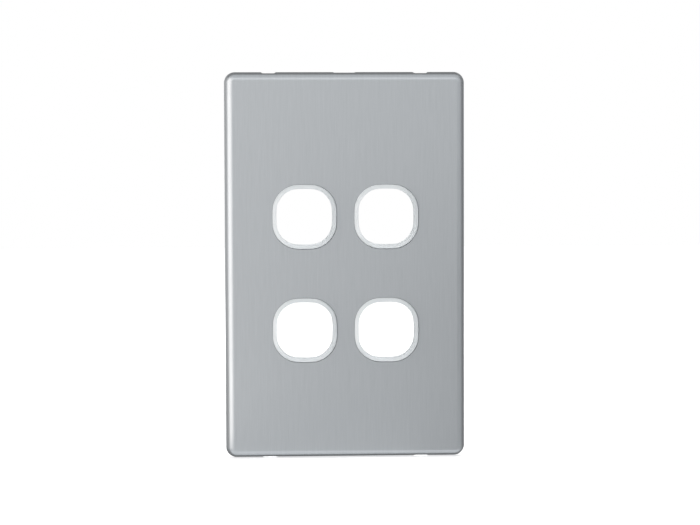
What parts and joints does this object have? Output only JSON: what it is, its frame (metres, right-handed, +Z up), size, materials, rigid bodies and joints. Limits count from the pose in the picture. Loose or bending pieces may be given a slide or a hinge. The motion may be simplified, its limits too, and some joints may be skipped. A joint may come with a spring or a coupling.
{
  "type": "switch cover plate",
  "caption": "Upright wall cover plate with a brushed metal face on a white moulded carrier, whose raised rims line rounded-square openings for switch mechanisms.",
  "frame": {"origin": "centre of the back plane, where the carrier's rim meets the wall", "axes": "+Z up on the wall, +Y into the wall, so the face looks along -Y, and +X to the right seen from the front"},
  "size_m": [0.0728, 0.0059, 0.117],
  "materials": {
    "brushed_face": "brushed along the height",
    "white_moulding": "satin"
  },
  "bodies": {
    "root": {"metal_face": "brushed_face", "carrier": "white_moulding"}
  },
  "joints": []
}
